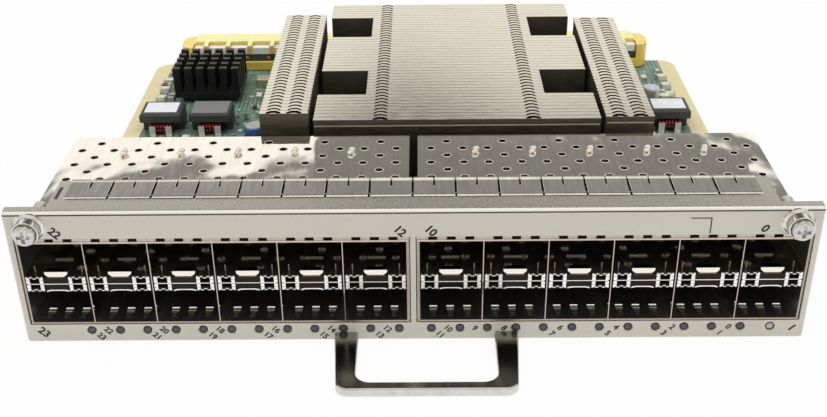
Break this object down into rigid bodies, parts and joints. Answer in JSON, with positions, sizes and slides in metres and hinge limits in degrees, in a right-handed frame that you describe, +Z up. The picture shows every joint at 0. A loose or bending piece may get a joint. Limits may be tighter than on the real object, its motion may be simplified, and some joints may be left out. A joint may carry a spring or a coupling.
{
  "type": "network interface card",
  "caption": "Plug-in network interface card: front panel with stacked port cages, pull handle and captive screws, on a circuit board with finned heat sinks and a guarded rear connector row.",
  "frame": {"origin": "middle of the front panel's bottom edge, half-way through its thickness", "axes": "+X right as seen from the front, +Y into the chassis, +Z up"},
  "size_m": [0.1774, 0.1795, 0.0347],
  "materials": {
    "panel_steel": "plated sheet steel, fine grain",
    "overlay_film": "warm grey printed film",
    "screw_steel": "bright plated steel",
    "strip_metal": "bright spring strip",
    "handle_metal": "polished",
    "lamp_plastic": "smoked clear plastic",
    "status_lamp_plastic": "frosted clear plastic",
    "cage_steel": "tin-plated sheet",
    "socket_plastic": "black moulded plastic",
    "gasket_steel": "bright spring sheet",
    "ferrule_metal": "turned and plated",
    "spring_steel": "drawn wire",
    "board_laminate": "green solder mask with bare cream borders",
    "sink_aluminium": "bare sheet",
    "chip_plastic": "black moulding",
    "pad_rubber": "grey gap pad",
    "black_anodised": "black anodised",
    "ferrite": "dark ferrite",
    "winding_enamel": "red enamelled copper",
    "terminal_tin": "tinned",
    "can_aluminium": "bare can",
    "blue_sleeve": "blue sleeve",
    "crystal_metal": "warm plated can",
    "ceramic_cream": "cream ceramic",
    "connector_plastic": "pale and dark green moulding",
    "cover_plastic": "pale amber moulding"
  },
  "bodies": {
    "card": {"backplane_connectors": "connector_plastic", "blue_capacitor": "blue_sleeve", "board_ceramics": "ceramic_cream", "board_chips": "chip_plastic", "can_capacitor": "can_aluminium", "centre_fin_pack": "sink_aluminium", "circuit_board": "board_laminate", "coil_shells": "ferrite", "coil_terminals": "terminal_tin", "coil_windings": "winding_enamel", "connector_cover": "cover_plastic", "crystal_can": "crystal_metal", "finger_strip": "strip_metal", "front_panel": "panel_steel", "handle": "handle_metal", "heatsink_base": "sink_aluminium", "heatsink_screws": "screw_steel", "heatsink_springs": "spring_steel", "left_cage_dividers": "cage_steel", "left_cage_frame": "cage_steel", "left_cage_gasket": "gasket_steel", "left_cage_lid": "cage_steel", "left_fin_pack": "sink_aluminium", "left_port_connectors": "socket_plastic", "left_port_separators": "cage_steel", "left_screw_ferrule": "ferrule_metal", "panel_overlay": "overlay_film", "panel_screws": "screw_steel", "panel_spacers": "screw_steel", "pin_chip": "chip_plastic", "pin_heatsink": "black_anodised", "port_lamps": "lamp_plastic", "processor_chip": "chip_plastic", "right_cage_dividers": "cage_steel", "right_cage_frame": "cage_steel", "right_cage_gasket": "gasket_steel", "right_cage_lid": "cage_steel", "right_fin_pack": "sink_aluminium", "right_port_connectors": "socket_plastic", "right_port_separators": "cage_steel", "right_screw_ferrule": "ferrule_metal", "status_lamp": "status_lamp_plastic", "thermal_pad": "pad_rubber"},
    "left_plunger": {"left_screw_spring": "spring_steel"},
    "left_screw": {"left_captive_screw": "screw_steel"},
    "right_plunger": {"right_screw_spring": "spring_steel"},
    "right_screw": {"right_captive_screw": "screw_steel"}
  },
  "joints": [
    {"name": "left_screw_press", "type": "slide", "parent": "card", "child": "left_plunger", "axis": [0, 1, 0], "range_m": [0, 0.0024], "stiffness_N_per_m": 300, "springref_m": -0.002, "deforming": ["left_screw_spring"]},
    {"name": "left_screw_turn", "type": "hinge", "parent": "left_plunger", "child": "left_screw", "pos_m": [-0.0832, 0, 0.0305], "axis": [0, 1, 0], "continuous": true},
    {"name": "right_screw_press", "type": "slide", "parent": "card", "child": "right_plunger", "axis": [0, 1, 0], "range_m": [0, 0.0024], "stiffness_N_per_m": 300, "springref_m": -0.002, "deforming": ["right_screw_spring"]},
    {"name": "right_screw_turn", "type": "hinge", "parent": "right_plunger", "child": "right_screw", "pos_m": [0.0832, 0, 0.0305], "axis": [0, 1, 0], "continuous": true}
  ]
}
